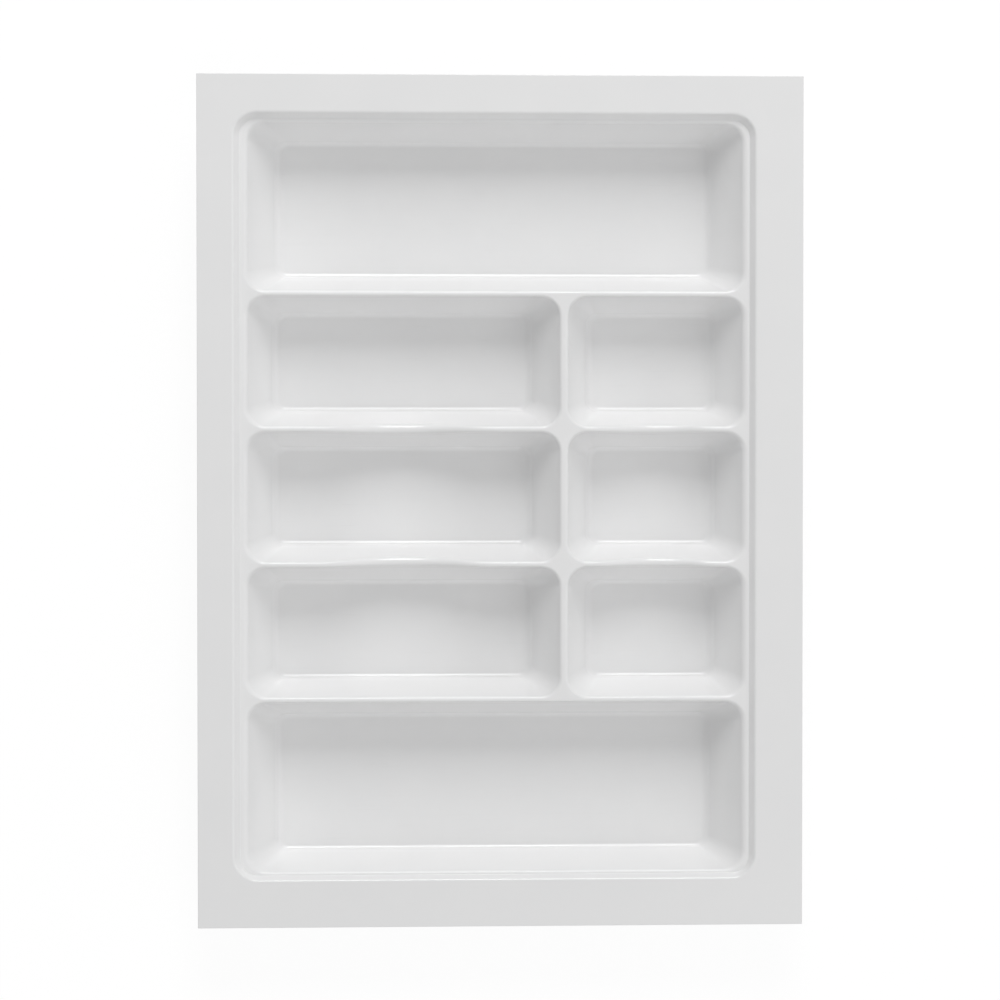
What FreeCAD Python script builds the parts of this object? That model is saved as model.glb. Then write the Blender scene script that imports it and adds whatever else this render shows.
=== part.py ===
import FreeCAD, Part
import os
import Sketcher

# A cutlery tray formed from one plastic sheet, divided into the regions that a person would name.
# The frame has its origin under the middle of the outline, +X to the right, +Y to the rear, +Z up.

os.makedirs("parts", exist_ok=True)
document = FreeCAD.newDocument("cutlery_tray")

# Driving dimensions in millimetres
SIZES = {
    "sheet_gauge": 1.6,
    "bay_depth": 50,
    "long_bay_length": 254,
    "short_bay_length": 143.5,
    "bay_width": 105.5,
    "wide_bay_width": 136.75,
    "cross_crest": 4,
    "middle_crest": 5.5,
    "side_run": 13.5,
    "long_end_run": 22,
    "short_end_run": 20,
    "wide_end_run": 24,
    "bay_corner": 14,
    "floor_round": 7.5,
    "crest_round": 2,
    "flange_left": 29,
    "flange_right": 37,
    "flange_rear": 30.5,
    "flange_front": 36.5,
    "side_ledge": 5.5,
    "end_ledge": 2.5,
    "step_height": 6,
    "step_run": 5,
    "step_corner": 14,
    "step_top_round": 3.5,
    "step_foot_round": 1.2,
    "long_dip": 13,
    "long_dip_span": 146,
    "short_dip": 9,
    "short_dip_span": 104,
    "dip_hollow_share": 0.6,
    "floor_cut_share": 1.1,
    "overrun": 2,
}
sheet = document.addObject("Spreadsheet::Sheet", "sizes")
for row, (alias, value) in enumerate(SIZES.items(), start=1):
    sheet.set(f"A{row}", alias.replace("_", " "))
    sheet.set(f"B{row}", str(value))
    sheet.setAlias(f"B{row}", alias)
document.recompute()


def size(alias):
    """The expression that reads one driving dimension."""
    return f"sizes.{alias}"


def number(expression):
    """The value that an expression has now, as a plain number."""
    return float(sheet.evalExpression(expression))


def joined(*terms):
    """The sum of some expressions, as one expression."""
    return "(" + " + ".join(terms) + ")"


def less(first, *terms):
    """One expression with others taken away from it."""
    return "(" + " - ".join((first,) + terms) + ")"


def times(factor, term):
    """One expression multiplied by another expression or a count."""
    return f"({factor} * {term})"


def middle(low, high):
    """The point halfway between two expressions."""
    return f"({joined(low, high)} / 2)"


# Plan lines, each measured from the middle of the trimmed outline
field_width = joined(size("long_bay_length"), size("middle_crest"), size("short_bay_length"))
field_length = joined(
    times(2, size("wide_bay_width")), times(3, size("bay_width")), times(4, size("cross_crest"))
)
side_band = joined(size("side_ledge"), size("step_run"))
end_band = joined(size("end_ledge"), size("step_run"))
outer_width = joined(field_width, times(2, side_band), size("flange_left"), size("flange_right"))
outer_length = joined(field_length, times(2, end_band), size("flange_rear"), size("flange_front"))
mouth_left = joined(f"({outer_width} / -2)", size("flange_left"), side_band)
mouth_right = joined(mouth_left, field_width)
crest_left = joined(mouth_left, size("long_bay_length"))
crest_right = joined(crest_left, size("middle_crest"))
mouth_rear = less(f"({outer_length} / 2)", size("flange_rear"), end_band)
mouth_front = less(mouth_rear, field_length)

# Front and rear mouth lines of the five rows, from the rear
row_widths = [size("wide_bay_width")] + [size("bay_width")] * 3 + [size("wide_bay_width")]
rows = []
row_rear = mouth_rear
for row_width in row_widths:
    row_front = less(row_rear, row_width)
    rows.append((row_front, row_rear))
    row_rear = less(row_front, size("cross_crest"))

# Levels of the upper face
floor_level = size("sheet_gauge")
crest_level = joined(floor_level, size("bay_depth"))
flange_level = joined(crest_level, size("step_height"))

# The eight bays: column lines, row, and how far the end walls lean in
LONG_BAYS = [(mouth_left, crest_left, rows[index], size("long_end_run")) for index in (1, 2, 3)]
SHORT_BAYS = [(crest_right, mouth_right, rows[index], size("short_end_run")) for index in (1, 2, 3)]
WIDE_BAYS = [(mouth_left, mouth_right, rows[index], size("wide_end_run")) for index in (0, 4)]
BAYS = LONG_BAYS + SHORT_BAYS + WIDE_BAYS

# How near counts as touching when edges are looked for
TOUCH_SHARE = 0.001
TOUCH = TOUCH_SHARE * number(size("sheet_gauge"))


def lies_at(edge, level):
    """Whether both ends of an edge are at a level."""
    height = number(level)
    return all(abs(vertex.Z - height) < TOUCH for vertex in edge.Vertexes)


def climbs(edge, low, high):
    """Whether an edge runs from one level up to another."""
    heights = sorted(vertex.Z for vertex in edge.Vertexes)
    return abs(heights[0] - number(low)) < TOUCH and abs(heights[-1] - number(high)) < TOUCH


def edge_middle(edge):
    """The point halfway along an edge."""
    return edge.valueAt((edge.FirstParameter + edge.LastParameter) / 2)


def outside_field(edge):
    """Whether an edge lies on the step rather than on a bay."""
    spot = edge_middle(edge)
    spare = number(size("end_ledge")) / 2
    beside = spot.x < number(mouth_left) - spare or spot.x > number(mouth_right) + spare
    beyond = spot.y < number(mouth_front) - spare or spot.y > number(mouth_rear) + spare
    return beside or beyond


def on_outline(edge):
    """Whether an edge is part of the trimmed outline."""
    spot = edge_middle(edge)
    at_side = abs(abs(spot.x) - number(outer_width) / 2) < TOUCH
    at_end = abs(abs(spot.y) - number(outer_length) / 2) < TOUCH
    return at_side or at_end


def crosses_dip(edge):
    """Whether an edge only joins two arcs of a dip, across the divider's crest."""
    ends = [vertex.Point for vertex in edge.Vertexes]
    if len(ends) < 2 or abs(ends[0].x - ends[1].x) > TOUCH:
        return False
    corner = number(size("bay_corner"))
    inside_long = number(mouth_left) + corner < ends[0].x < number(crest_left) - corner
    inside_short = number(crest_right) + corner < ends[0].x < number(mouth_right) - corner
    return inside_long or inside_short


def on_mouth(edge):
    """Whether an edge is the brim of a bay, dips included."""
    lowest = number(less(crest_level, size("long_dip"))) - TOUCH
    highest = number(crest_level) + TOUCH
    high_enough = all(lowest <= vertex.Z <= highest for vertex in edge.Vertexes)
    return high_enough and not outside_field(edge) and not crosses_dip(edge)


def origin_plane(body, role):
    """One of a body's own origin planes."""
    return next(plane for plane in body.Origin.OriginFeatures if plane.Role == role)


def attach(item, body, role, offsets):
    """Sets a sketch or a primitive on an origin plane, moved by three bound offsets."""
    item.AttachmentSupport = [(origin_plane(body, role), "")]
    item.MapMode = "FlatFace"
    for axis, offset in zip("xyz", offsets):
        item.setExpression(f"AttachmentOffset.Base.{axis}", offset)


def bind(sketch, kind, places, name, expression):
    """A named dimension of a sketch, bound to an expression."""
    index = sketch.addConstraint(Sketcher.Constraint(kind, *places, number(expression)))
    sketch.renameConstraint(index, name)
    sketch.setExpression(f"Constraints.{name}", expression)


def plain_outline(sketch, width, length):
    """A rectangle about the sketch's origin."""
    half_x = number(width) / 2
    half_y = number(length) / 2
    corners = [
        FreeCAD.Vector(-half_x, -half_y),
        FreeCAD.Vector(half_x, -half_y),
        FreeCAD.Vector(half_x, half_y),
        FreeCAD.Vector(-half_x, half_y),
    ]
    count = len(corners)
    for index in range(count):
        sketch.addGeometry(Part.LineSegment(corners[index], corners[(index + 1) % count]))
    for index in range(count):
        sketch.addConstraint(Sketcher.Constraint("Coincident", index, 2, (index + 1) % count, 1))
        sketch.addConstraint(Sketcher.Constraint("Vertical" if index % 2 else "Horizontal", index))
    sketch.addConstraint(Sketcher.Constraint("Symmetric", 0, 1, 2, 1, -1, 1))
    bind(sketch, "DistanceX", (0, 1, 0, 2), "width", width)
    bind(sketch, "DistanceY", (1, 1, 1, 2), "length", length)


def middle_point(first, second):
    """The point halfway between two points."""
    return (first + second) / 2


def dip_outline(sketch, dip, span):
    """A smooth dip below the sketch's X axis: a hollow arc between two crowned ones, closed above."""
    half_span = number(span) / 2
    reach = f"(({span} / 2) ^ 2 + {dip} ^ 2) / (2 * {dip})"
    hollow = times(size("dip_hollow_share"), f"({reach})")
    crown = times(f"(1 - {size('dip_hollow_share')})", f"({reach})")
    hollow_radius = number(hollow)
    crown_radius = number(crown)
    lift = number(size("overrun"))
    point = FreeCAD.Vector
    hollow_centre = point(0, hollow_radius - number(dip))
    left_centre = point(-half_span, -crown_radius)
    right_centre = point(half_span, -crown_radius)
    left_join = left_centre + (hollow_centre - left_centre).normalize() * crown_radius
    right_join = right_centre + (hollow_centre - right_centre).normalize() * crown_radius
    left_start = point(-half_span, 0)
    right_end = point(half_span, 0)
    lowest = point(0, -number(dip))
    left_bulge = left_centre + (middle_point(left_start, left_join) - left_centre).normalize() * crown_radius
    right_bulge = right_centre + (middle_point(right_end, right_join) - right_centre).normalize() * crown_radius
    left = sketch.addGeometry(Part.Arc(left_join, left_bulge, left_start))
    low = sketch.addGeometry(Part.Arc(left_join, lowest, right_join))
    right = sketch.addGeometry(Part.Arc(right_end, right_bulge, right_join))
    rise = sketch.addGeometry(Part.LineSegment(right_end, point(half_span, lift)))
    back = sketch.addGeometry(Part.LineSegment(point(half_span, lift), point(-half_span, lift)))
    fall = sketch.addGeometry(Part.LineSegment(point(-half_span, lift), left_start))
    left_outer, left_inner = arc_ends(sketch, left, left_start)
    low_left, low_right = arc_ends(sketch, low, left_join)
    right_outer, right_inner = arc_ends(sketch, right, right_end)
    rules = [
        ("Tangent", left, left_inner, low, low_left),
        ("Tangent", low, low_right, right, right_inner),
        ("Coincident", right, right_outer, rise, 1),
        ("Coincident", rise, 2, back, 1),
        ("Coincident", back, 2, fall, 1),
        ("Coincident", fall, 2, left, left_outer),
        ("Vertical", rise),
        ("Vertical", fall),
        ("Horizontal", back),
        ("Vertical", left, 3, left, left_outer),
        ("PointOnObject", low, 3, -2),
        ("PointOnObject", left, left_outer, -1),
        ("Symmetric", left, left_outer, right, right_outer, -2),
        ("Equal", left, right),
    ]
    for rule in rules:
        sketch.addConstraint(Sketcher.Constraint(*rule))
    bind(sketch, "DistanceX", (left, left_outer, right, right_outer), "span", span)
    bind(sketch, "Radius", (low,), "hollow", hollow)
    bind(sketch, "Radius", (left,), "crown", crown)
    bind(sketch, "DistanceY", (rise, 1, rise, 2), "lift", size("overrun"))


def arc_ends(sketch, index, outer):
    """The numbers of an arc's two ends, the one nearest a point first."""
    arc = sketch.Geometry[index]
    near_start = arc.StartPoint.distanceToPoint(outer) < arc.EndPoint.distanceToPoint(outer)
    return (1, 2) if near_start else (2, 1)


def wedge_cut(body, name, place, depth, base, top):
    """A hollow with four leaning walls, from a base outline at its place up to a top outline."""
    across, along, level = place
    wedge = body.newObject("PartDesign::SubtractiveWedge", name)
    attach(wedge, body, "XZ_Plane", (across, level, f"(-1 * {along})"))
    wedge.setExpression("Ymin", "0")
    wedge.setExpression("Ymax", depth)
    for mark, (width, length) in (("", base), ("2", top)):
        for axis, extent in (("X", width), ("Z", length)):
            wedge.setExpression(f"{axis}{mark}min", f"({extent} / -2)")
            wedge.setExpression(f"{axis}{mark}max", f"({extent} / 2)")
    document.recompute()


def round_edges(body, name, chosen, radius):
    """A fillet on the edges of the body's tip that a test chooses."""
    base = body.Tip
    names = [f"Edge{index}" for index, edge in enumerate(base.Shape.Edges, start=1) if chosen(edge)]
    fillet = body.newObject("PartDesign::Fillet", name)
    fillet.Base = (base, names)
    fillet.setExpression("Radius", radius)
    document.recompute()


def lean(run, rise):
    """How far a wall leans for each millimetre that it rises."""
    return f"({run} / {rise})"


def foot_shift(gap, slope):
    """How far the foot of a leaning wall moves out when wall and floor both move by a gap."""
    return f"({gap} * (sqrt(1 + {slope} ^ 2) - {slope}))"


def top_shift(gap, slope, rise):
    """How far the top of a leaning wall moves out when the wall moves by a gap and rises further."""
    return f"({gap} * sqrt(1 + {slope} ^ 2) + {rise} * {slope})"


def form(name, gap, margin):
    """The tray's upper face as a block, its face moved in by a gap and its outline out by a margin."""
    body = document.addObject("PartDesign::Body", name)
    base_level = f"(-1 * ({size('overrun')} + {margin}))"
    low_floor = less(floor_level, gap)
    low_crest = less(crest_level, gap)
    low_flange = less(flange_level, gap)
    outline = body.newObject("Sketcher::SketchObject", f"{name}_outline")
    attach(outline, body, "XY_Plane", ("0", "0", base_level))
    plain_outline(outline, joined(outer_width, times(2, margin)), joined(outer_length, times(2, margin)))
    block = body.newObject("PartDesign::Pad", f"{name}_block")
    block.Profile = outline
    block.setExpression("Length", less(low_flange, base_level))
    document.recompute()

    # Recess inside the rim
    step_lean = lean(size("step_run"), size("step_height"))
    foot_growth = times(2, foot_shift(gap, step_lean))
    top_growth = times(2, top_shift(gap, step_lean, joined(size("step_height"), size("overrun"))))
    foot_width = joined(field_width, times(2, size("side_ledge")))
    foot_length = joined(field_length, times(2, size("end_ledge")))
    wedge_cut(
        body,
        f"{name}_recess",
        (middle(mouth_left, mouth_right), middle(mouth_front, mouth_rear), low_crest),
        joined(size("step_height"), gap, size("overrun")),
        (joined(foot_width, foot_growth), joined(foot_length, foot_growth)),
        (joined(foot_width, top_growth), joined(foot_length, top_growth)),
    )
    round_edges(
        body,
        f"{name}_recess_corners",
        lambda edge: climbs(edge, low_crest, low_flange),
        joined(size("step_corner"), gap),
    )

    # Bays
    side_lean = lean(size("side_run"), size("bay_depth"))
    for index, (left, right, (front, rear), end_run) in enumerate(BAYS, start=1):
        end_lean = lean(end_run, size("bay_depth"))
        wedge_cut(
            body,
            f"{name}_bay_{index}",
            (middle(left, right), middle(front, rear), low_floor),
            joined(size("bay_depth"), gap, size("overrun")),
            (
                joined(less(right, left), times(2, less(foot_shift(gap, end_lean), end_run))),
                joined(less(rear, front), times(2, less(foot_shift(gap, side_lean), size("side_run")))),
            ),
            (
                joined(less(right, left), times(2, top_shift(gap, end_lean, size("overrun")))),
                joined(less(rear, front), times(2, top_shift(gap, side_lean, size("overrun")))),
            ),
        )
    round_edges(
        body,
        f"{name}_bay_corners",
        lambda edge: climbs(edge, low_floor, low_crest),
        joined(size("bay_corner"), gap),
    )
    round_edges(
        body,
        f"{name}_floor_rounds",
        lambda edge: lies_at(edge, low_floor),
        joined(size("floor_round"), gap),
    )

    # Finger dips across the two cross dividers of each column
    reach = times(2, joined(size("bay_width"), size("cross_crest")))
    dips = (
        ("long", mouth_left, crest_left),
        ("short", crest_right, mouth_right),
    )
    for kind, left, right in dips:
        sketch = body.newObject("Sketcher::SketchObject", f"{name}_{kind}_dip_outline")
        attach(sketch, body, "XZ_Plane", (middle(left, right), low_crest, f"(-1 * {middle(*rows[2])})"))
        dip_outline(sketch, size(f"{kind}_dip"), size(f"{kind}_dip_span"))
        before = body.Tip.Shape.Volume
        pocket = body.newObject("PartDesign::Pocket", f"{name}_{kind}_dip")
        pocket.Profile = sketch
        pocket.Midplane = True
        pocket.setExpression("Length", reach)
        document.recompute()
        if pocket.Shape.Volume >= before:
            raise RuntimeError(f"{pocket.Name} cuts nothing")
    return body


# Upper face of the sheet, then the space under it
upper = form("upper_form", "0", "0")
round_edges(
    upper,
    "upper_step_foot_round",
    lambda edge: lies_at(edge, crest_level) and outside_field(edge),
    size("step_foot_round"),
)
round_edges(
    upper,
    "upper_step_top_round",
    lambda edge: lies_at(edge, flange_level) and not on_outline(edge),
    size("step_top_round"),
)
round_edges(upper, "upper_crest_rounds", on_mouth, size("crest_round"))
under = form("under_form", size("sheet_gauge"), size("overrun"))

formed_sheet = document.addObject("Part::Cut", "formed_sheet")
formed_sheet.Base = upper
formed_sheet.Tool = under
document.recompute()

# Cutting lines: where the rounding of walls and corners has run out into the flat floor
floor_reach = times(size("floor_cut_share"), size("bay_corner"))
side_cut = joined(size("wide_end_run"), floor_reach)
row_cut = joined(size("side_run"), floor_reach)
far_right = joined(f"({outer_width} / 2)", size("overrun"))
far_left = f"(-1 * {far_right})"
far_rear = joined(f"({outer_length} / 2)", size("overrun"))
far_front = f"(-1 * {far_rear})"
left_cut = joined(mouth_left, side_cut)
right_cut = less(mouth_right, side_cut)
middle_left_cut = less(crest_left, size("long_end_run"), floor_reach)
middle_right_cut = joined(crest_right, size("short_end_run"), floor_reach)
row_cuts = [(joined(front, row_cut), less(rear, row_cut)) for front, rear in rows]
low_cut = f"(-1 * {size('overrun')})"
rim_cut = less(flange_level, size("sheet_gauge"))
high_cut = joined(flange_level, size("overrun"))
whole_width = (far_left, far_right)
whole_length = (far_front, far_rear)
between_sides = (left_cut, right_cut)
long_column = (left_cut, middle_left_cut)
short_column = (middle_right_cut, right_cut)
below_rim = (low_cut, rim_cut)


def region(label, across, along, upright):
    """A named sub-part: the sheet inside a box given by its lines across, along and upright."""
    box = document.addObject("Part::Box", f"{label}_box")
    for axis, side, (low, high) in zip("xyz", ("Length", "Width", "Height"), (across, along, upright)):
        box.setExpression(f"Placement.Base.{axis}", low)
        box.setExpression(side, less(high, low))
    piece = document.addObject("Part::Common", label)
    piece.Label = label
    piece.Base = formed_sheet
    piece.Tool = box
    return piece


def between_rows(index):
    """The lines of the divider in front of a row."""
    return (row_cuts[index + 1][1], row_cuts[index][0])


# Rim and outer walls
pieces = [
    region("rim_flange", whole_width, whole_length, (rim_cut, high_cut)),
    region("left_wall", (far_left, left_cut), whole_length, below_rim),
    region("right_wall", (right_cut, far_right), whole_length, below_rim),
    region("rear_wall", between_sides, (row_cuts[0][1], far_rear), below_rim),
    region("front_wall", between_sides, (far_front, row_cuts[-1][0]), below_rim),
]

# Dividers
middle_span = (row_cuts[3][0], row_cuts[1][1])
pieces.append(region("rear_divider", between_sides, between_rows(0), below_rim))
pieces.append(region("front_divider", between_sides, between_rows(3), below_rim))
pieces.append(region("middle_divider", (middle_left_cut, middle_right_cut), middle_span, below_rim))
for kind, column in (("long", long_column), ("short", short_column)):
    pieces.append(region(f"{kind}_divider_rear", column, between_rows(1), below_rim))
    pieces.append(region(f"{kind}_divider_front", column, between_rows(2), below_rim))

# Floors
for place, lines in (("rear", row_cuts[0]), ("front", row_cuts[-1])):
    pieces.append(region(f"wide_bay_floor_{place}", between_sides, lines, below_rim))
for kind, column in (("long", long_column), ("short", short_column)):
    for place, lines in zip(("rear", "middle", "front"), row_cuts[1:-1]):
        pieces.append(region(f"{kind}_bay_floor_{place}", column, lines, below_rim))

document.recompute()
for item in document.Objects:
    if "Invalid" in item.State or "Error" in item.State:
        raise RuntimeError(f"{item.Label} is not up to date")
for piece in pieces:
    if piece.Shape.isNull() or not piece.Shape.isValid() or len(piece.Shape.Solids) != 1:
        raise RuntimeError(f"{piece.Label} is not one valid solid")
    piece.Shape.exportStep(f"parts/{piece.Label}.step")
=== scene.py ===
import math

import bmesh
import bpy
from mathutils import Matrix, Vector


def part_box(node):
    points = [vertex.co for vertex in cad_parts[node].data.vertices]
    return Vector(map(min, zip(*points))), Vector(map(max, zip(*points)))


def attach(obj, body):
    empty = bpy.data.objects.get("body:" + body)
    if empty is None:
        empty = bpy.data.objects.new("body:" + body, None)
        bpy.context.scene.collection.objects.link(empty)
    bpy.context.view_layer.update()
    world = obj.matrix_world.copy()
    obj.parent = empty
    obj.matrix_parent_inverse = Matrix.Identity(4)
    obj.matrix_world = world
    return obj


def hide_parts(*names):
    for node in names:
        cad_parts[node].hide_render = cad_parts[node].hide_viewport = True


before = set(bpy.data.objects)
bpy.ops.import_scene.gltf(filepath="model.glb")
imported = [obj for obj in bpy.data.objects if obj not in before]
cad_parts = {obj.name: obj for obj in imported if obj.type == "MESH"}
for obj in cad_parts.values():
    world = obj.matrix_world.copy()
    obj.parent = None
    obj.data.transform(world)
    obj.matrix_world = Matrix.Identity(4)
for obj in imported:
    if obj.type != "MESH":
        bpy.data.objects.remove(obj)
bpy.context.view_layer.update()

# Bays: eight drafted hollows drawn into one hot sheet of white plastic, three long, three short, and a
# wide one at the rear and the front. Each is a stack of rounded outlines, bridged from its brim over
# the leaning walls down to its floor, with a small round at the brim and a larger one at the foot.
MM = 0.001
tiny = 0.001 * MM
sheet_gauge = 1.6 * MM
bay_depth = 50 * MM
floor_level = sheet_gauge
crest_level = floor_level + bay_depth
field_left = -205.5 * MM
field_right = 197.5 * MM
fold_left = 48.5 * MM
fold_right = 54 * MM
column_lines = {
    "long": (field_left, fold_left),
    "short": (fold_right, field_right),
    "wide": (field_left, field_right),
}
field_rear = 306 * MM
rear_bay_width = 136 * MM
bay_width = 105.5 * MM
front_bay_width = 137.5 * MM
cross_crest = 4 * MM
row_rear = field_rear
row_lines = []
for row_width in (rear_bay_width, bay_width, bay_width, bay_width, front_bay_width):
    row_lines.append((row_rear - row_width, row_rear))
    row_rear -= row_width + cross_crest
rear_row = 0
middle_rows = (1, 2, 3)
front_row = 4
bays = [("wide", rear_row), ("wide", front_row)]
bays += [(kind, row) for kind in ("long", "short") for row in middle_rows]
side_run = 13.5 * MM
side_lean = side_run / bay_depth
side_pitch = math.atan2(bay_depth, side_run)
end_runs = {"long": 22 * MM, "short": 20 * MM, "wide": 24 * MM}
mouth_corner = 16 * MM
floor_corner = 9 * MM
corner_narrowing = (mouth_corner - floor_corner) / bay_depth
corner_steps = 10
side_steps = {"long": 64, "short": 40, "wide": 64}
end_steps = 12
crest_round = 2.2 * MM
fold_round = 2.7 * MM
shoulder_round = 5.5 * MM
end_rounds = {
    "long": (shoulder_round, fold_round),
    "short": (fold_round, shoulder_round),
    "wide": (shoulder_round, shoulder_round),
}
crest_round_steps = 6
crest_drop = crest_round * (1 - math.cos(side_pitch))
shoulder_drops = [2.1 * MM, 2.7 * MM, 3.3 * MM, 3.8 * MM]
brim_turns = [side_pitch * step / crest_round_steps for step in range(crest_round_steps + 1)]
brim_drops = [crest_round * (1 - math.cos(turn)) for turn in brim_turns] + shoulder_drops
side_foot_round = 4.2 * MM
end_foot_round = 7.5 * MM
foot_round_steps = 8
end_foot_rises = [4.7 * MM, 4.15 * MM, 3.6 * MM]
foot_turns = [side_pitch * (1 - step / foot_round_steps) for step in range(foot_round_steps + 1)]
foot_rises = end_foot_rises + [side_foot_round * (1 - math.cos(turn)) for turn in foot_turns]


def stand_off(radius, pitch, height):
    """How far a rounded edge stands off the line where its flat side and its wall would meet."""
    if height >= radius * (1 - math.cos(pitch)):
        return -height / math.tan(pitch)
    return radius * math.tan(pitch / 2) - math.sqrt(height * (2 * radius - height))


def outline_ring(sheet, lines, corner, level, steps):
    """A closed loop of edges round a rounded rectangle, with its straight sides divided."""
    left, right, front, rear = lines
    place = Matrix.Translation(((left + right) / 2, (front + rear) / 2, level))
    stretch = Matrix.Diagonal(((right - left) / 2, (rear - front) / 2, 1, 1))
    square = bmesh.ops.create_grid(sheet, x_segments=1, y_segments=1, size=1, matrix=place @ stretch)
    verts = square["verts"]
    if corner:
        verts = bmesh.ops.bevel(
            sheet,
            geom=verts,
            offset=corner,
            offset_type="OFFSET",
            segments=corner_steps,
            profile=0.5,
            affect="VERTICES",
            clamp_overlap=False,
            material=-1,
        )["verts"]
    face = verts[0].link_faces[0]
    edges = set(face.edges)
    bmesh.ops.delete(sheet, geom=[face], context="FACES_ONLY")
    for axis, count in enumerate(steps):
        fixed = 1 - axis
        sides = [edge for edge in edges if abs(edge.verts[0].co[fixed] - edge.verts[1].co[fixed]) < tiny]
        if count > 1:
            divided = bmesh.ops.subdivide_edges(sheet, edges=sides, cuts=count - 1)["geom_split"]
            edges.update(item for item in divided if isinstance(item, bmesh.types.BMEdge))
    return list(edges)


# Finger dips: the two cross dividers of each column sag in the middle so that fingers reach under the
# cutlery. The mould's crest is wider and rounder where it is lower, the walls below lean a little more,
# and the front dips stand a little to the rear. A divider goes by the number of the row behind it.
dip_depths = {"long": 13 * MM, "short": 9 * MM}
dip_spans = {"long": 146 * MM, "short": 104 * MM}
dip_tilts = {middle_rows[0]: 0, middle_rows[1]: 0.145}
dip_hollow_share = 0.6
dip_widening_share = 0.4
dip_roundness_share = 1.15


def dip_at(kind, x):
    """How far a divider's crest sags at a place: a hollow arc that runs into two crowned ones."""
    depth = dip_depths[kind]
    half_span = dip_spans[kind] / 2
    away = abs(x - sum(column_lines[kind]) / 2)
    reach = (half_span ** 2 + depth ** 2) / (2 * depth)
    hollow = dip_hollow_share * reach
    crown = reach - hollow
    if away >= half_span:
        return 0
    if away <= half_span * dip_hollow_share:
        return depth - hollow + math.sqrt(hollow ** 2 - away ** 2)
    return crown - math.sqrt(crown ** 2 - (half_span - away) ** 2)


def sink_side(verts, kind, middle, half_mouth, side, tilt, drop):
    """Moves one side of a brim outline down and a little into the bay, by the dip at each vertex."""
    for vert in verts:
        dip = dip_at(kind, vert.co.x)
        widening = dip_widening_share * dip * side_lean
        pitch = math.atan2(bay_depth - dip, side_run - widening + side * tilt * dip)
        radius = crest_round + dip_roundness_share * widening / math.tan(pitch / 2)
        own_crest_drop = radius * (1 - math.cos(pitch))
        own_drop = min(drop / crest_drop, 1) * own_crest_drop + max(drop - crest_drop, 0)
        out = half_mouth - widening + stand_off(radius, pitch, own_drop)
        vert.co.y = middle + side * out + tilt * dip
        vert.co.z = crest_level - dip - own_drop


# Bay walls and floors: vacuum draws the soft sheet down into the mould, so every wall leans and every
# brim and foot is rounded. The outlines of a bay run from its brim to its floor, and the brim sides
# that sag keep their edges for the crests between them.
front_side = -1
rear_side = 1
sheet = bmesh.new()
dipped_brims = {}
for kind, row in bays:
    left, right = column_lines[kind]
    front, rear = row_lines[row]
    end_run = end_runs[kind]
    end_pitch = math.atan2(bay_depth, end_run)
    left_round, right_round = end_rounds[kind]
    steps = (side_steps[kind], end_steps)
    rings = []
    for drop in brim_drops:
        side_out = stand_off(crest_round, side_pitch, drop)
        left_out = stand_off(left_round, end_pitch, drop)
        right_out = stand_off(right_round, end_pitch, drop)
        corner = mouth_corner - corner_narrowing * drop + side_out + side_lean * drop
        lines = (left - left_out, right + right_out, front - side_out, rear + side_out)
        ring = outline_ring(sheet, lines, corner, crest_level - drop, steps)
        ring_verts = {vert for edge in ring for vert in edge.verts}
        for side, divider in ((front_side, row), (rear_side, row - 1)):
            if divider in dip_tilts:
                line = rear + side_out if side == rear_side else front - side_out
                verts = {vert for vert in ring_verts if abs(vert.co.y - line) < tiny}
                if not rings:
                    dipped_brims[kind, divider, side] = [edge for edge in ring if set(edge.verts) <= verts]
                middle = (front + rear) / 2
                half_mouth = (rear - front) / 2
                sink_side(verts, kind, middle, half_mouth, side, dip_tilts[divider], drop)
        rings.append(ring)
    for rise in foot_rises:
        side_in = side_run + stand_off(side_foot_round, side_pitch, rise)
        end_in = end_run + stand_off(end_foot_round, end_pitch, rise)
        corner = floor_corner + corner_narrowing * rise + side_run - side_in - side_lean * rise
        lines = (left + end_in, right - end_in, front + side_in, rear - side_in)
        rings.append(outline_ring(sheet, lines, corner, floor_level + rise, steps))
    for upper, lower in zip(rings, rings[1:]):
        bmesh.ops.bridge_loops(sheet, edges=upper + lower)
    bmesh.ops.edgeloop_fill(sheet, edges=rings[-1])

# Dipped crests: the strip of the same sheet along the top of each of the four sagging dividers. It is one
# piece with the bays on both its sides, so it is bridged from brim to brim.
for kind in dip_depths:
    for divider in dip_tilts:
        brim_behind = dipped_brims[kind, divider, front_side]
        brim_in_front = dipped_brims[kind, divider, rear_side]
        bmesh.ops.bridge_loops(sheet, edges=brim_behind + brim_in_front)

# Step and ledge: a shallow drop all round inside the rim, which stiffens it, with a narrow ledge at its
# foot that is level with the dividers. The step is bridged outlines too, and the ledge is filled in flat.
left_ledge = 5.5 * MM
right_ledge = 4.6 * MM
end_ledge = 2.5 * MM
step_height = 6 * MM
step_run = 5 * MM
step_corner = 14 * MM
step_foot_round = 1.4 * MM
step_top_round = 3.5 * MM
step_round_steps = 6
right_run_share = 0.85
front_run_share = 0.65
undivided = (1, 1)
upward = (0, 0, 1)
step_pitch = math.atan2(step_height, step_run)
flange_level = crest_level + step_height
step_places = []
for step in range(step_round_steps + 1):
    turn = step_pitch * step / step_round_steps
    rise = step_foot_round * (1 - math.cos(turn))
    step_places.append((-stand_off(step_foot_round, step_pitch, rise), crest_level + rise))
for step in range(step_round_steps + 1):
    turn = step_pitch * (1 - step / step_round_steps)
    drop = step_top_round * (1 - math.cos(turn))
    step_places.append((step_run + stand_off(step_top_round, step_pitch, drop), flange_level - drop))
left = field_left - left_ledge
right = field_right + right_ledge
front = row_lines[front_row][0] - end_ledge
rear = field_rear + end_ledge
step_rings = []
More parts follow.
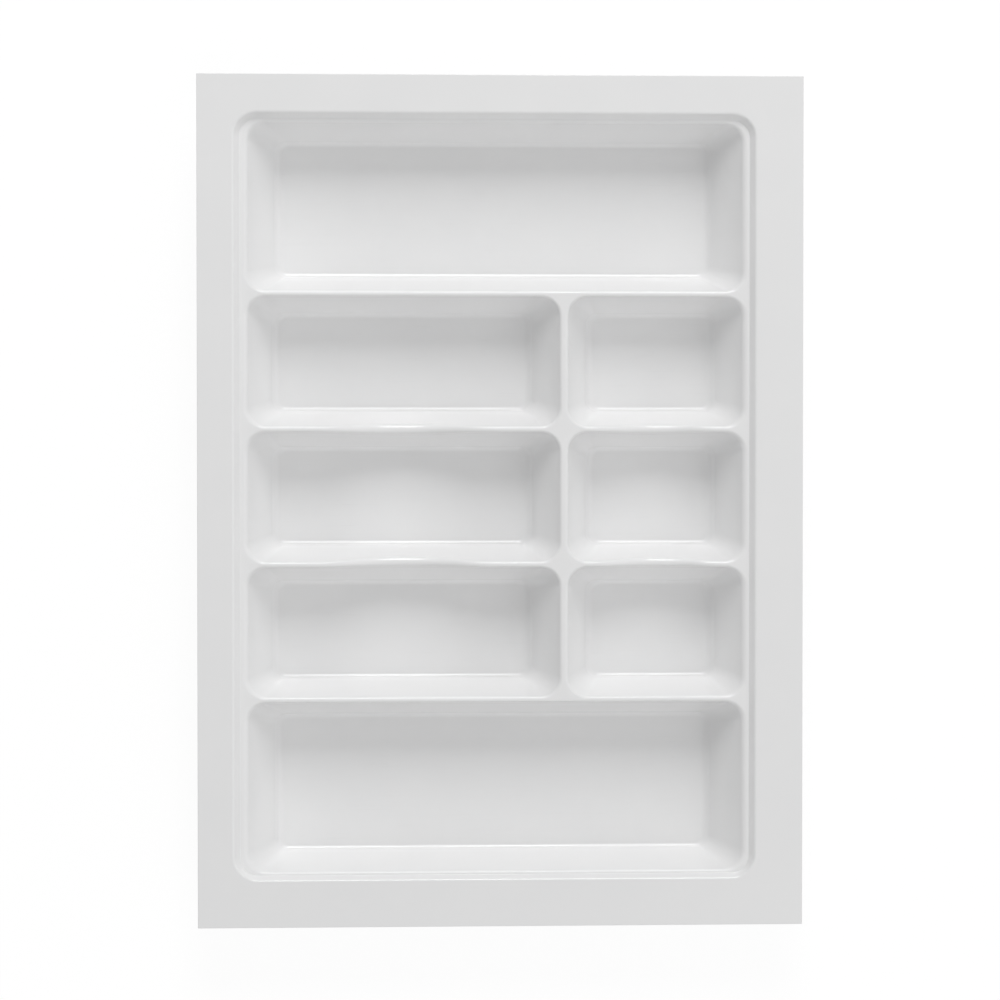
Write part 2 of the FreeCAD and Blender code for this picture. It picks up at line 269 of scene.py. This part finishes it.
for out, level in step_places:
    lines = (left - out, right + right_run_share * out, front - front_run_share * out, rear + out)
    step_rings.append(outline_ring(sheet, lines, step_corner + out, level, undivided))
for lower, upper in zip(step_rings, step_rings[1:]):
    bmesh.ops.bridge_loops(sheet, edges=lower + upper)
brims = [edge for edge in sheet.edges if edge.is_boundary]
deck_edges = [edge for edge in brims if all(abs(vert.co.z - crest_level) < tiny for vert in edge.verts)]
bmesh.ops.triangle_fill(sheet, edges=deck_edges, use_beauty=True, normal=upward)

# Rim: the flat margin of the sheet round the field, left as it was clamped and then sawn square to suit
# the drawer. Its sawn edge is dull, with fine marks through the gauge, and its arrises are scraped off.
rim_half_width = 245 * MM
rim_half_length = 344 * MM
square_corner = 0
scraped_arris = 0.35 * MM
arris_steps = 2
rim_lines = (-rim_half_width, rim_half_width, -rim_half_length, rim_half_length)
rim_ring = outline_ring(sheet, rim_lines, square_corner, flange_level, undivided)
bmesh.ops.triangle_fill(sheet, edges=rim_ring + step_rings[-1], use_beauty=True, normal=upward)
bmesh.ops.recalc_face_normals(sheet, faces=sheet.faces[:])
if sum(face.normal.z * face.calc_area() for face in sheet.faces) < 0:
    bmesh.ops.reverse_faces(sheet, faces=sheet.faces[:])
for face in sheet.faces:
    face.smooth = True

# White plastic: polystyrene sheet, white right through and glossy as it left the mould. Drawing leaves a
# fine peel and a slow waviness in the gloss, and cutlery leaves hairlines along the bay floors.
plastic_white = (0.945, 0.945, 0.945, 1)
plastic_shade = (0.928, 0.929, 0.931, 1)
plastic_ior = 1.54
gloss_range = (0.13, 0.19)
cloud_fineness = 18
cloud_detail = 3.0
cloud_roughness = 0.55
cloud_range = (0.3, 0.7)
wave_fineness = 24
wave_detail = 1.0
wave_height = 0.08 * MM
peel_fineness = 480
peel_detail = 2.0
peel_height = 0.004 * MM
hairline_grey = (0.9, 0.9, 0.9, 1)
hairline_fineness = (26, 1500, 1500)
hairline_detail = 2.0
hairline_range = (0.63, 0.72)
hairline_reach = (floor_level, floor_level + 1.2 * MM)
hairline_dulling = 0.12
as_mapped = 1.0
rising = (0, 1)
fading = (1, 0)
colour_inputs = (6, 7)
colour_output = 2


def feed_socket(tree, socket, feed):
    """Joins an input to another node's output, or sets it to a value."""
    if isinstance(feed, bpy.types.NodeSocket):
        tree.links.new(feed, socket)
    else:
        socket.default_value = feed


def add_node(tree, kind, **feeds):
    """A node of a kind, with its named inputs fed."""
    node = tree.nodes.new("ShaderNode" + kind)
    for name, feed in feeds.items():
        feed_socket(tree, node.inputs[name], feed)
    return node


def combined(tree, operation, *feeds):
    """Values combined by an operation of arithmetic."""
    node = tree.nodes.new("ShaderNodeMath")
    node.operation = operation
    for socket, feed in zip(node.inputs, feeds):
        feed_socket(tree, socket, feed)
    return node.outputs["Value"]


def rescaled(tree, value, old_range, new_range):
    """The value stretched from one range to another and held within it."""
    node = tree.nodes.new("ShaderNodeMapRange")
    tree.links.new(value, node.inputs["Value"])
    for name, limit in zip(("From Min", "From Max", "To Min", "To Max"), old_range + new_range):
        node.inputs[name].default_value = limit
    return node.outputs["Result"]


def blended(tree, share, *colours):
    """A colour between two, by a varying share."""
    node = tree.nodes.new("ShaderNodeMix")
    node.data_type = "RGBA"
    tree.links.new(share, node.inputs["Factor"])
    for index, colour in zip(colour_inputs, colours):
        feed_socket(tree, node.inputs[index], colour)
    return node.outputs[colour_output]


clouds = bpy.data.node_groups.new("sheet_clouds", "ShaderNodeTree")
clouds.interface.new_socket("Place", in_out="INPUT", socket_type="NodeSocketVector")
clouds.interface.new_socket("Fineness", in_out="INPUT", socket_type="NodeSocketFloat")
clouds.interface.new_socket("Clouds", in_out="OUTPUT", socket_type="NodeSocketFloat")
cloud_inputs = clouds.nodes.new("NodeGroupInput").outputs
cloud_noise = add_node(
    clouds,
    "TexNoise",
    Vector=cloud_inputs["Place"],
    Scale=cloud_inputs["Fineness"],
    Detail=cloud_detail,
    Roughness=cloud_roughness,
)
cloud_mask = rescaled(clouds, cloud_noise.outputs["Fac"], cloud_range, rising)
clouds.links.new(cloud_mask, clouds.nodes.new("NodeGroupOutput").inputs["Clouds"])


def start_material(name):
    """A new material with its shader, its place on the tray and the clouds in the sheet."""
    material = bpy.data.materials.new(name)
    material.use_nodes = True
    tree = material.node_tree
    place = tree.nodes.new("ShaderNodeTexCoord").outputs["Object"]
    patches = tree.nodes.new("ShaderNodeGroup")
    patches.node_tree = clouds
    tree.links.new(place, patches.inputs["Place"])
    patches.inputs["Fineness"].default_value = cloud_fineness
    shader = tree.nodes["Principled BSDF"]
    shader.inputs["IOR"].default_value = plastic_ior
    return material, tree, shader, place, patches.outputs["Clouds"]


plastic, tree, shader, place, patches = start_material("white_plastic")
drawn_out = add_node(tree, "Mapping", Vector=place, Scale=hairline_fineness).outputs["Vector"]
streaks = add_node(tree, "TexNoise", Vector=drawn_out, Scale=as_mapped, Detail=hairline_detail)
streak_mask = rescaled(tree, streaks.outputs["Fac"], hairline_range, rising)
height = add_node(tree, "SeparateXYZ", Vector=place).outputs["Z"]
on_floor = rescaled(tree, height, hairline_reach, fading)
hairlines = combined(tree, "MULTIPLY", combined(tree, "MULTIPLY", streak_mask, on_floor), patches)
tone = blended(tree, patches, plastic_white, plastic_shade)
tree.links.new(blended(tree, hairlines, tone, hairline_grey), shader.inputs["Base Color"])
gloss = rescaled(tree, patches, rising, gloss_range)
worn_gloss = combined(tree, "MULTIPLY_ADD", hairlines, hairline_dulling, gloss)
tree.links.new(worn_gloss, shader.inputs["Roughness"])
waves = add_node(tree, "TexNoise", Vector=place, Scale=wave_fineness, Detail=wave_detail).outputs["Fac"]
waved = add_node(tree, "Bump", Height=waves, Distance=wave_height).outputs["Normal"]
peel = add_node(tree, "TexNoise", Vector=place, Scale=peel_fineness, Detail=peel_detail).outputs["Fac"]
peeled = add_node(tree, "Bump", Height=peel, Distance=peel_height, Normal=waved).outputs["Normal"]
tree.links.new(peeled, shader.inputs["Normal"])

# Sawn edge: the cut face of the sheet round the rim, the same plastic with its gloss cut away. The saw
# leaves fine marks through the gauge, which are duller and a little darker.
sawn_white = (0.87, 0.87, 0.87, 1)
sawn_shade = (0.8, 0.8, 0.8, 1)
sawn_gloss_range = (0.5, 0.72)
saw_mark_fineness = (800, 800, 25)
saw_mark_detail = 3.0
saw_mark_range = (0.3, 0.7)
saw_mark_height = 0.05 * MM
sawn_edge, tree, shader, place, patches = start_material("sawn_edge")
across_edge = add_node(tree, "Mapping", Vector=place, Scale=saw_mark_fineness).outputs["Vector"]
saw_noise = add_node(tree, "TexNoise", Vector=across_edge, Scale=as_mapped, Detail=saw_mark_detail)
marks = saw_noise.outputs["Fac"]
dark_marks = combined(tree, "MULTIPLY", marks, patches)
tree.links.new(blended(tree, dark_marks, sawn_white, sawn_shade), shader.inputs["Base Color"])
tree.links.new(rescaled(tree, marks, saw_mark_range, sawn_gloss_range), shader.inputs["Roughness"])
sawn = add_node(tree, "Bump", Height=marks, Distance=saw_mark_height).outputs["Normal"]
tree.links.new(sawn, shader.inputs["Normal"])

# Named parts: the one sheet is divided along the lines of the model, and each part gets the gauge of the
# sheet below its drawn face. Nothing fixes them to each other, because the real tray is all one piece.
rim_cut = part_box("rim_flange")[0].z
below_drawn_face = -1
sawn_slot_offset = 1
full_weight = 1
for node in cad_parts:
    lowest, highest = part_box(node)
    part = sheet.copy()
    cuts = [
        ((lowest.x, 0, 0), (-1, 0, 0)),
        ((highest.x, 0, 0), (1, 0, 0)),
        ((0, lowest.y, 0), (0, -1, 0)),
        ((0, highest.y, 0), (0, 1, 0)),
        ((0, 0, rim_cut), (0, 0, -1 if node == "rim_flange" else 1)),
    ]
    for point, facing in cuts:
        bmesh.ops.bisect_plane(
            part,
            geom=part.verts[:] + part.edges[:] + part.faces[:],
            dist=tiny,
            plane_co=point,
            plane_no=facing,
            clear_outer=True,
        )
    for edge in part.edges:
        edge.smooth = not edge.is_boundary
    mesh = bpy.data.meshes.new(f"{node}_sheet")
    part.to_mesh(mesh)
    part.free()
    mesh.materials.append(plastic)
    piece = bpy.data.objects.new(f"{node}_sheet", mesh)
    bpy.context.collection.objects.link(piece)
    gauge = piece.modifiers.new("gauge", "SOLIDIFY")
    gauge.thickness = sheet_gauge
    gauge.offset = below_drawn_face
    gauge.use_even_offset = True
    gauge.use_quality_normals = True
    if node == "rim_flange":
        mesh.materials.append(sawn_edge)
        gauge.material_offset_rim = sawn_slot_offset
        trimmed = piece.vertex_groups.new(name="trimmed_edge")
        outermost = [vert.index for vert in mesh.vertices if abs(vert.co.x) > rim_half_width - tiny]
        trimmed.add(outermost, full_weight, "ADD")
        arris = piece.modifiers.new("arris", "BEVEL")
        arris.width = scraped_arris
        arris.segments = arris_steps
        arris.limit_method = "VGROUP"
        arris.vertex_group = trimmed.name
    shading = piece.modifiers.new("shading", "WEIGHTED_NORMAL")
    shading.keep_sharp = True
    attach(piece, "root")
    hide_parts(node)
sheet.free()

# Floor: a plain white painted studio floor under the tray. Most of what the camera and reflections see of
# it is an even white, and the rest is the paint in the lamps' light, which keeps a faint shadow.
floor_half = 6.0
floor_white = (0.85, 0.85, 0.85, 1)
floor_roughness = 0.9
floor_glow = 1.05
floor_glow_share = 0.88
floor_mesh = bpy.data.meshes.new("studio_floor")
floor_shape = bmesh.new()
bmesh.ops.create_grid(floor_shape, x_segments=1, y_segments=1, size=floor_half)
floor_shape.to_mesh(floor_mesh)
floor_shape.free()
floor = bpy.data.objects.new("studio_floor", floor_mesh)
floor.location.z = -tiny
bpy.context.collection.objects.link(floor)
floor_paint = bpy.data.materials.new("floor_paint")
floor_paint.use_nodes = True
tree = floor_paint.node_tree
paint = tree.nodes["Principled BSDF"]
paint.inputs["Base Color"].default_value = floor_white
paint.inputs["Roughness"].default_value = floor_roughness
glow = add_node(tree, "Emission", Strength=floor_glow)
rays = tree.nodes.new("ShaderNodeLightPath").outputs
seen = combined(tree, "MAXIMUM", rays["Is Camera Ray"], rays["Is Glossy Ray"])
seen = combined(tree, "MAXIMUM", seen, rays["Is Transmission Ray"])
surface = add_node(tree, "MixShader", Fac=combined(tree, "MULTIPLY", seen, floor_glow_share))
tree.links.new(paint.outputs["BSDF"], surface.inputs[1])
tree.links.new(glow.outputs["Emission"], surface.inputs[2])
tree.links.new(surface.outputs["Shader"], tree.nodes["Material Output"].inputs["Surface"])
floor_mesh.materials.append(floor_paint)

# Light: a soft white room, a broad key lamp high above the rear, and two larger, weaker lamps that fill
# from the right and from the front. All point at the middle of the tray.
room_white = (1, 1, 1, 1)
room_strength = 0.33
lamps = {
    "key_lamp": {"place": (0.15, 3.96, 3.04), "size": (1.9, 2.7), "power": 119},
    "right_fill": {"place": (3.92, -0.34, 3.08), "size": (4.0, 4.0), "power": 27},
    "front_fill": {"place": (0.8, -3.05, 3.89), "size": (4.5, 4.5), "power": 49},
}
world = bpy.data.worlds.new("white_room")
bpy.context.scene.world = world
world.use_nodes = True
room = world.node_tree.nodes["Background"]
room.inputs["Color"].default_value = room_white
room.inputs["Strength"].default_value = room_strength
for name, lamp in lamps.items():
    light = bpy.data.lights.new(name, "AREA")
    light.shape = "RECTANGLE"
    light.size, light.size_y = lamp["size"]
    light.energy = lamp["power"]
    holder = bpy.data.objects.new(name, light)
    holder.location = lamp["place"]
    holder.rotation_euler = (-Vector(lamp["place"])).to_track_quat("-Z", "Y").to_euler()
    bpy.context.collection.objects.link(holder)

# Camera: almost straight above the tray, a little to the left and to the rear of its middle. It looks at
# the middle of the rim, with the rear upwards, and its lens takes in the width of the photograph.
camera_place = Vector((-0.15, 0.07, 2.9))
aim = Vector((-1.1 * MM, 1.4 * MM, flange_level))
rearward = Vector((0, 1, 0))
picture_width = 807.8 * MM
sensor_width = 36
camera_data = bpy.data.cameras.new("camera")
camera_data.sensor_width = sensor_width
camera_data.lens = sensor_width * (aim - camera_place).length / picture_width
camera = bpy.data.objects.new("camera", camera_data)
camera.location = camera_place
ahead = (aim - camera_place).normalized()
across = ahead.cross(rearward).normalized()
camera.rotation_euler = Matrix((across, across.cross(ahead), -ahead)).transposed().to_euler()
bpy.context.collection.objects.link(camera)
bpy.context.scene.camera = camera

# Picture: the picture's tones stay plain.
bpy.context.scene.view_settings.view_transform = "Standard"
